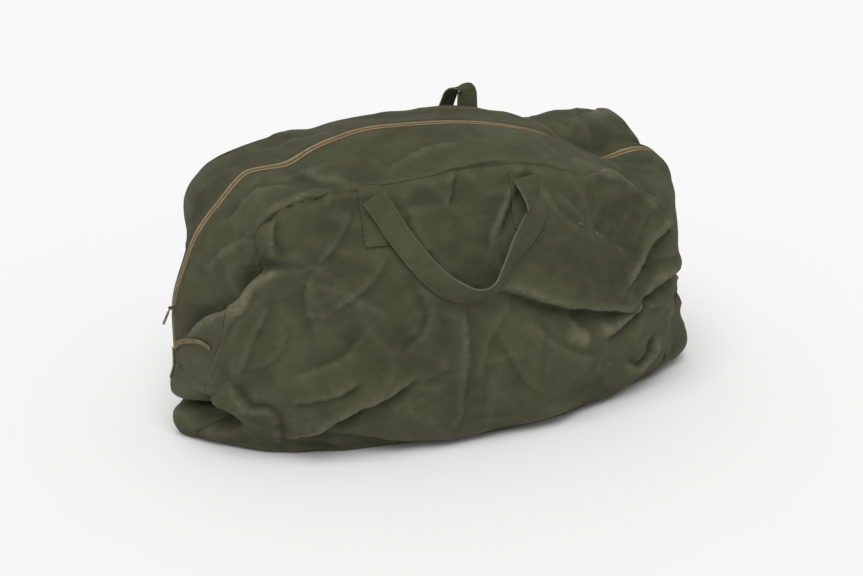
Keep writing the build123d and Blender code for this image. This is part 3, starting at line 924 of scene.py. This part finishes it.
def strip(name, places, across, up, width, thick, colour, bulge=0.0006, cells=12):
    """A flat woven strap: thicker at its folded edges, with a groove along each row of stitches."""
    share = np.linspace(-1, 1, cells + 1)
    share = np.sign(share) * np.abs(share) ** 0.8
    edge = np.exp(-(((np.abs(share) - 0.93) / 0.07) ** 2))
    groove = np.exp(-(((np.abs(share) - STITCH_SHARE) / 0.05) ** 2))
    half = thick / 2 + bulge * edge - 0.5 * bulge * groove
    rounded = np.where(np.abs(share) > 0.99, 0.55, 1.0)
    ring_u = np.r_[share, share[::-1]] * width / 2
    ring_v = np.r_[half * rounded, -(half * rounded)[::-1]]
    rows, ring = len(places), len(ring_u)
    points = places[:, None] + across[:, None] * ring_u[None, :, None] + up[:, None] * ring_v[None, :, None]
    index = np.arange(rows * ring).reshape(rows, ring)
    quads = []
    for a, b in zip(index, index[1:]):
        for c in range(ring):
            d = (c + 1) % ring
            quads.append((a[c], b[c], b[d], a[d]))
    for row, flip in ((index[0], -1), (index[-1], 1)):
        for c in range(cells):
            quads.append((row[c], row[ring - 1 - c], row[ring - 2 - c], row[c + 1])[::flip])
    made = mesh_object(name, points.reshape(-1, 3), quads)
    lay_cloth(made.data, np.stack([np.repeat(lengths(places), ring), np.tile(ring_u, rows)], 1))
    # rubbed wear with a painted highlight on the folded edges, and painted shade in the stitch grooves
    rubbed_and_lit = np.clip((np.abs(share) - 0.86) / 0.10, 0, 1)
    for mark, light_and_wear in (("crest", rubbed_and_lit), ("crease", 0.5 * groove)):
        mark_points(made.data, mark, np.tile(np.r_[light_and_wear, light_and_wear[::-1]], rows))
    made.data.materials.append(colour)
    return made


def tube(first, rings, size):
    """The faces of a closed tube, whose rings of points follow one another, and of its two ends."""
    faces = []
    last = first + (rings - 1) * size
    for ring in range(first, last, size):
        for c in range(size):
            d = (c + 1) % size
            faces.append((ring + c, ring + d, ring + size + d, ring + size + c))
    faces.append(tuple(first + c for c in reversed(range(size))))
    faces.append(tuple(last + c for c in range(size)))
    return faces


def stitches(name, runs, colour, pitch=0.0034, long=0.0024, wide=0.0007):
    """Rows of short thread stitches: each run is places along it and the way up from the cloth."""
    points, faces = [], []
    for places, up in runs:
        marks = lengths(places)
        middles = np.arange(pitch, marks[-1] - pitch / 2, pitch)
        at = read_at(middles, marks, places)
        rise = unit(read_at(middles, marks, up))
        onward = unit(read_at(middles + 0.0005, marks, places) - at)
        side = np.cross(rise, onward)
        for p, t, n, w in zip(at, onward, rise, side):
            first = len(points)
            for shift, size, lift in ((-0.5, 0.35, -0.0002), (0.0, 1.0, 0.0004), (0.5, 0.35, -0.0002)):
                middle = p + t * shift * long + n * lift
                for a, b in ((-1, 0), (0, 1), (1, 0), (0, -1)):
                    points.append(middle + w * a * wide * size / 2 + n * b * wide * size / 2)
            faces += tube(first, 3, 4)
    made = mesh_object(name, points, faces)
    made.data.materials.append(colour)
    return made


def on_skin(places, height):
    """The nearest places on the cloth, raised by a height, and the way out at each."""
    raised, outward = [], []
    for place in places:
        near, normal, _, _ = skin_tree.find_nearest(Vector(place))
        raised.append(np.array(near) + np.array(normal) * height)
        outward.append(np.array(normal))
    return np.array(raised), np.array(outward)


def skin_side(x, z, side):
    """The skin's outermost point at x, z on the front (-1) or back (1), and its normal."""
    hit, normal, _, _ = skin_tree.ray_cast(Vector((x, side, z)), Vector((0, -side, 0)))
    if hit is None:
        return None, None
    return np.array(hit), np.array(normal) * math.copysign(1, normal[1] * side)


def clear_of_skin(places, across, side, half, gap):
    """Moves a strap's places out along y until its middle and edges stand clear of the cloth."""
    need = np.zeros(len(places))
    for n, (p, w) in enumerate(zip(places, across)):
        for share in (-1, -0.5, 0, 0.5, 1):
            q = p + w * half * share
            hit, _ = skin_side(q[0], q[2], side)
            if hit is not None and hit[2] > 0.03:
                need[n] = max(need[n], side * (hit[1] - q[1]) + gap)
    reach = 5
    wide = np.array([need[max(0, n - reach) : n + reach + 1].max() for n in range(len(need))])
    soft = np.convolve(np.pad(wide, 3, "edge"), np.ones(7) / 7, "valid")
    out = places.copy()
    out[:, 1] += side * soft
    return out


def handle(name, route, sides, side, body, node):
    """A carrying strap with its two rows of stitches, hanging clear of the cloth."""
    places, across, _ = frames_along(route, sides, STRAP_STEP)
    places = clear_of_skin(places, across, side, STRAP_WIDTH / 2, STRAP_GAP)
    across, up = squared(places, across)
    made = strip(name, places, across, up, STRAP_WIDTH, STRAP_THICK, webbing)
    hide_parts(node)
    runs = []
    for edge in (-1, 1):
        for face in (-1, 1):
            line = places + across * edge * STITCH_SHARE * STRAP_WIDTH / 2 + up * face * STRAP_THICK / 2
            runs.append((line, up * face))
    sewn = stitches(name + "_stitches", runs, thread)
    for piece in (made, sewn):
        if side < 0:  # sewn down at both ends, and it bends just under them
            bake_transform(piece)
        else:
            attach(piece, body)


def patch(name, middle, low, high, side, node):
    """A square of strap sewn flat on the panel, with a row of stitches round it."""
    half = STRAP_WIDTH / 2
    columns = np.linspace(middle - half, middle + half, 11)
    rows = np.linspace(low, high, 23)
    grid, normals = [], []
    for z in rows:
        for x in columns:
            hit, normal = skin_side(x, min(z, PATCH_LIMIT), side)
            hit = hit + np.array((0, 0, z - hit[2]))
            grid.append(hit + normal * (0.0012 + STRAP_THICK / 2))
            normals.append(normal)
    grid, normals = np.array(grid), np.array(normals)
    index = np.arange(len(grid)).reshape(len(rows), len(columns))
    quads = []
    for a, b in zip(index, index[1:]):
        for c in range(len(columns) - 1):
            ring = (a[c], a[c + 1], b[c + 1], b[c])
            quads.append(ring if side < 0 else ring[::-1])
    made = mesh_object(name, grid, quads)
    lay_cloth(made.data, grid[:, [0, 2]])
    thick = made.modifiers.new("thickness", "SOLIDIFY")
    thick.thickness, thick.offset = STRAP_THICK, -0.6
    soft = made.modifiers.new("rounded", "BEVEL")
    soft.width, soft.segments = 0.0006, 2
    made.data.materials.append(webbing)
    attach(made, "bag")
    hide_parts(node)
    inner = index[1:-1, 1:-1]
    loop = np.r_[inner[0], inner[1:, -1], inner[-1, ::-1][1:], inner[::-1, 0][1:]]
    line = grid[loop] + normals[loop] * 0.0008
    return line, normals[loop]


# ---- the front handle: its middle line, and the way to its inner edge ----
FRONT_ROUTE = [
    ((-0.176, -0.172, 0.445), (1, 0, 0.28)),
    ((-0.159, -0.180, 0.417), (1, 0, 0.35)),
    ((-0.139, -0.191, 0.381), (0.9, 0, 0.45)),
    ((-0.110, -0.204, 0.339), (0.85, 0, 0.55)),
    ((-0.080, -0.213, 0.305), (0.7, -0.10, 0.65)),
    ((-0.049, -0.218, 0.284), (0.4, -0.30, 0.62)),
    ((-0.024, -0.220, 0.276), (0.1, -0.42, 0.60)),
    ((0.002, -0.219, 0.281), (-0.3, -0.48, 0.52)),
    ((0.020, -0.216, 0.298), (-0.5, -0.52, 0.34)),
    ((0.033, -0.212, 0.322), (-0.6, -0.55, 0.27)),
    ((0.052, -0.206, 0.345), (-0.85, -0.35, 0.30)),
    ((0.078, -0.197, 0.373), (-1, -0.05, 0.30)),
    ((0.088, -0.190, 0.394), (-0.95, -0.2, 0.10)),
    ((0.083, -0.184, 0.414), (-0.65, -0.55, 0)),
    ((0.077, -0.172, 0.448), (-1, 0, 0)),
]
BACK_ROUTE = [
    ((-0.145, 0.172, 0.447), (1, 0, 0.1)),
    ((-0.141, 0.182, 0.415), (1, 0, 0.15)),
    ((-0.124, 0.196, 0.365), (0.95, 0, 0.35)),
    ((-0.098, 0.206, 0.322), (0.8, 0, 0.6)),
    ((-0.060, 0.212, 0.298), (0.3, 0.3, 0.9)),
    ((-0.020, 0.210, 0.318), (-0.4, 0.3, 0.8)),
    ((0.010, 0.202, 0.362), (-0.8, 0.2, 0.5)),
    ((0.040, 0.190, 0.414), (-0.8, -0.2, 0.4)),
    ((0.072, 0.186, 0.444), (-0.9, -0.4, 0.15)),
    ((0.080, 0.183, 0.468), (-0.9, -0.45, 0.05)),
    ((0.085, 0.179, 0.485), (-0.9, -0.45, 0.05)),
    ((0.094, 0.173, 0.494), (-0.9, -0.45, 0)),
    ((0.103, 0.167, 0.495), (-0.92, -0.4, 0)),
    ((0.108, 0.163, 0.490), (-0.95, -0.3, 0)),
    ((0.1085, 0.162, 0.482), (-0.97, -0.2, 0)),
]


points, quads, tags, keys = build_lattice()
still = held_still(keys)
points = on_floor(uncrumpled(hollowed(points, quads), quads, 6))
points = on_floor(uncrumpled(settle(points, quads, still), quads, 8))
coarse, coarse_quads = points, quads

skin = mesh_object("skin", points, quads, tags)
lay_flat(skin, quads, tags, keys)
mark_points(skin.data, "seam", (keys[:, 1] == 0) | (keys[:, 1] == len(ACROSS) - 1))
for _ in TAGS:
    skin.data.materials.append(canvas)


def subdivided(piece, levels):
    """The piece's mesh as a subdivision surface, applied."""
    modifier = piece.modifiers.new("subdivision", "SUBSURF")
    modifier.levels = modifier.render_levels = levels
    graph = bpy.context.evaluated_depsgraph_get()
    smooth = bpy.data.meshes.new_from_object(piece.evaluated_get(graph))
    piece.modifiers.clear()
    piece.data = smooth


subdivided(skin, 1)
points = np.array([v.co for v in skin.data.vertices])
quads = np.array([p.vertices for p in skin.data.polygons])
loose = 1 - np.clip((0.034 - abs(points[:, 1])) / 0.018, 0, 1) * (points[:, 2] > 0.13)
loose *= np.clip((points[:, 2] - 0.002) / 0.012, 0, 1)
points = notched(folded(uneven(points, quads, loose), quads, loose))
points = smoothed(uncrumpled(points, quads, 10), quads, 0.38 * loose)
seam = np.zeros(len(points), np.float32)
skin.data.attributes["seam"].data.foreach_get("value", seam)
welt = np.where(seam > 0.9, SEAM_WELT, np.where(seam > 0.2, -0.8 * SEAM_WELT, 0))
points = on_floor(points + normals_of(points, quads) * welt[:, None])
skin.data.vertices.foreach_set("co", points.astype(np.float32).ravel())
skin.data.update()
# how the cloth bends: its crests get rubbed wear and a painted highlight, its creases painted shade, in the
# canvas colour
bend = np.zeros(len(points))
for rounds, weight in ((1, 0.5), (4, 0.5)):
    soft = points
    for _ in range(rounds):
        soft = smoothed(soft, quads, 1.0)
    bend += weight * ((points - soft) * normals_of(points, quads)).sum(1) / (0.0007 * rounds)
bend = smoothed(smoothed(np.repeat(bend[:, None], 3, 1), quads, 0.6), quads, 0.6)[:, 0]
mark_points(skin.data, "crest", np.clip(bend, 0, 1))
mark_points(skin.data, "crease", np.clip(-bend, 0, 1))


def panel_of(tag):
    """One sewn panel, cut from the skin and given its cloth's thickness."""
    cut = bmesh.new()
    cut.from_mesh(skin.data)
    others = [face for face in cut.faces if face.material_index != TAGS.index(tag)]
    bmesh.ops.delete(cut, geom=others, context="FACES")
    for face in cut.faces:
        face.material_index = 0
        face.smooth = True
    mesh = bpy.data.meshes.new(tag)
    cut.to_mesh(mesh)
    cut.free()
    made = placed("canvas_" + tag, mesh)
    mesh.materials.append(canvas)
    thick = made.modifiers.new("thickness", "SOLIDIFY")
    thick.thickness = CLOTH
    thick.offset = -1
    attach(made, "bag")
    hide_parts(tag)


for tag in TAGS[:-1]:
    panel_of(tag)
bpy.data.objects.remove(skin)
skin_tree = BVHTree.FromPolygons([tuple(p) for p in points], [tuple(q) for q in quads])

filling = mesh_object("soft_filling", pull_in(coarse, coarse_quads, FILL_DEPTH, FILL_GAP), coarse_quads)
filling.data.materials.append(stuffing)
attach(filling, "bag")
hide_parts("filling", "front_seam_binding", "back_seam_binding")

handle("front_strap", *zip(*FRONT_ROUTE), -1, "front_handle", "front_handle")
handle("back_strap", *zip(*BACK_ROUTE), 1, "back_handle", "back_handle")
sewn_runs = []
for word, side in (("front", -1), ("back", 1)):
    for end in ("left", "right"):
        node = f"{word}_handle_anchor_{end}"
        low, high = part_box(node)
        middle = (low[0] + high[0]) / 2
        sewn_runs.append(patch(f"{word}_patch_{end}", middle, low[2], PATCH_LIMIT, side, node))
stub_low, stub_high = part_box("back_handle_stub")
stub_x = (stub_low[0] + stub_high[0]) / 2
stub_route = [(stub_x, 0.147, 0.432), (stub_x, 0.152, 0.458), (stub_x + 0.003, 0.161, 0.4885)]
stub_frames = frames_along(stub_route, [(1, 0, 0), (1, 0.05, 0), (0.97, 0.2, 0)], STRAP_STEP)
stub = strip("back_strap_stub", *stub_frames, STRAP_WIDTH, STRAP_THICK, webbing)
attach(stub, "bag")
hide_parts("back_handle_stub")

# ---- zip: tapes and teeth that follow the gusset's edges ----
TEETH_PITCH = 0.0030
TAPE_IN, TAPE_OUT, HEM_STITCH = 0.0022, 0.0116, 0.0140  # distances from the zip's middle line
TAPE_SUNK, TEETH_SUNK = 0.0012, 0.0010  # below the gusset's folded edges
TAPE_THICK, TAPE_BULGE = 0.0009, 0.0003
TAPE_START, TEETH_START = -0.002, 0.006  # above the zip's lower ends
TOOTH = [  # along it: distance out, half length, half height
    (0.0034, 0.0011, 0.0011),
    (0.0018, 0.0008, 0.0009),
    (0.0006, 0.0008, 0.0009),
    (-0.0009, 0.0011, 0.0011),
]
OCTAGON = [(-1, -0.6), (-0.6, -1), (0.6, -1), (1, -0.6), (1, 0.6), (0.6, 1), (-0.6, 1), (-1, 0.6)]
lane_points = {}
lattice_row = {tuple(key): n for n, key in enumerate(keys)}
for j in (ACROSS.index(-SLOT_HALF), ACROSS.index(0.0), ACROSS.index(SLOT_HALF)):
    column = [(0, j, k) for k in range(CELLS_UP)]
    column += [(i, j, CELLS_UP) for i in range(CELLS_ALONG + 1)]
    column += [(CELLS_ALONG, j, k) for k in reversed(range(CELLS_UP))]
    lane_points[j] = points[[lattice_row[key] for key in column]]
front_lane, middle_lane, back_lane = lane_points.values()
marks = lengths(middle_lane)
wanted = np.arange(0, marks[-1], TEETH_PITCH / 2)
zip_middle = read_at(wanted, marks, (front_lane + back_lane) / 2)
zip_across = unit(read_at(wanted, marks, back_lane - front_lane))
zip_onward = unit(np.gradient(zip_middle, axis=0))
zip_up = unit(np.cross(zip_across, zip_onward))
zip_up *= np.sign((zip_up * (zip_middle - np.array((0, 0, 0.15)))).sum(1, keepdims=True))
zip_low = np.where(zip_middle[:, 0] < 0, ZIP_LOW_LEFT, ZIP_LOW_RIGHT)
zipped = zip_middle[:, 2] > zip_low + TEETH_START
taped = zip_middle[:, 2] > zip_low + TAPE_START

for word, side in (("front", -1), ("back", 1)):
    pick = np.nonzero(taped)[0][::2]
    middle = zip_middle[pick] + zip_across[pick] * side * (TAPE_IN + TAPE_OUT) / 2
    middle = middle - zip_up[pick] * TAPE_SUNK
    ways = zip_across[pick], zip_up[pick]
    tape_size = TAPE_OUT - TAPE_IN, TAPE_THICK
    tape_piece = strip(f"zip_tape_{word}", middle, *ways, *tape_size, tape, TAPE_BULGE, 10)
    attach(tape_piece, "bag")
    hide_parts(f"zipper_tape_{word}")
    tooth_points, tooth_faces = [], []
    for n in np.nonzero(zipped)[0][(0 if side < 0 else 1) :: 2]:
        p = zip_middle[n] - zip_up[n] * TEETH_SUNK
        t, w, u = zip_onward[n], zip_across[n] * side, zip_up[n]
        first = len(tooth_points)
        for out, long, high in TOOTH:
            for a, b in OCTAGON:
                tooth_points.append(p + w * out + t * a * long * 0.7 + u * b * high * 1.2)
        for face in tube(first, len(TOOTH), len(OCTAGON)):
            tooth_faces.append(face if side < 0 else face[::-1])
    teeth_piece = mesh_object(f"zip_teeth_{word}", tooth_points, tooth_faces)
    teeth_piece.data.materials.append(teeth)
    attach(teeth_piece, "bag")
    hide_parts(f"zipper_teeth_{word}")
    sewn_runs.append(on_skin(zip_middle[pick] + zip_across[pick] * side * HEM_STITCH, 0.0002))
sewing = stitches("bag_stitches", sewn_runs, thread)
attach(sewing, "bag")

# ---- where the zip has parted at its lower left end, its tapes lie loose on the cloth ----
LOOSE_HIGH, LOOSE_WIDTH, LOOSE_THICK = 0.0022, 0.009, 0.0011
LOOSE_TAPES = metres([
    [(-464, -6, 163), (-460, -28, 180), (-450, -60, 195), (-436, -88, 203), (-424, -108, 200)],
    [(-466, 4, 158), (-468, 3, 140), (-467, 2, 120), (-464, 0, 102)],
])
for number, route in enumerate(LOOSE_TAPES, 1):
    on_cloth, outward = on_skin(smooth_through(route, 10), LOOSE_HIGH)
    on_cloth = smooth_rows(on_cloth, 3)
    outward = smooth_rows(outward, 4)
    onward = unit(np.gradient(on_cloth, axis=0))
    ways = unit(np.cross(onward, outward)), unit(outward)
    name = f"loose_tape_{number}"
    loose_tape = strip(name, on_cloth, *ways, LOOSE_WIDTH, LOOSE_THICK, old_tape, TAPE_BULGE, 8)
    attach(loose_tape, "bag")

for part in ("bottom_stop", "top_stop", "slider", "slider_bar", "pull"):
    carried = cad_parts["zipper_" + part]
    carried.data.materials.clear()
    carried.data.materials.append(metal)

# ---- camera ----
AZIMUTH, ELEVATION, DISTANCE = math.radians(-20), math.radians(23), 3.343
AIM, LENS = Vector((0.0073, 0.0659, 0.1703)), 80.0
level = math.cos(ELEVATION)
back = Vector((math.sin(AZIMUTH) * level, -math.cos(AZIMUTH) * level, math.sin(ELEVATION)))
camera = placed("camera", bpy.data.cameras.new("camera"))
camera.data.lens = LENS
camera.location = AIM + back * DISTANCE
camera.rotation_mode = "QUATERNION"
camera.rotation_quaternion = (-back).to_track_quat("-Z", "Y")
bpy.context.scene.camera = camera

# ---- floor and light ----
SKY_STRENGTH, SUN_STRENGTH, SUN_SPREAD = 0.56, 1.9, math.radians(46)
SUN_WAY = Vector((1.2, 2.2, -5.2))
floor = mesh_object("floor", square(9, 0), [(0, 1, 2, 3)])
floor.data.materials.append(white)
world = bpy.data.worlds.new("world")
bpy.context.scene.world = world
world.use_nodes = True
sky = world.node_tree.nodes["Background"].inputs
sky["Color"].default_value = (1, 1, 1, 1)
sky["Strength"].default_value = SKY_STRENGTH
lamp = bpy.data.lights.new("overhead", "SUN")
lamp.energy, lamp.angle = SUN_STRENGTH, SUN_SPREAD
overhead = placed("overhead", lamp)
overhead.rotation_mode = "QUATERNION"
overhead.rotation_quaternion = SUN_WAY.to_track_quat("-Z", "Y")
bpy.context.scene.view_settings.view_transform = "Standard"
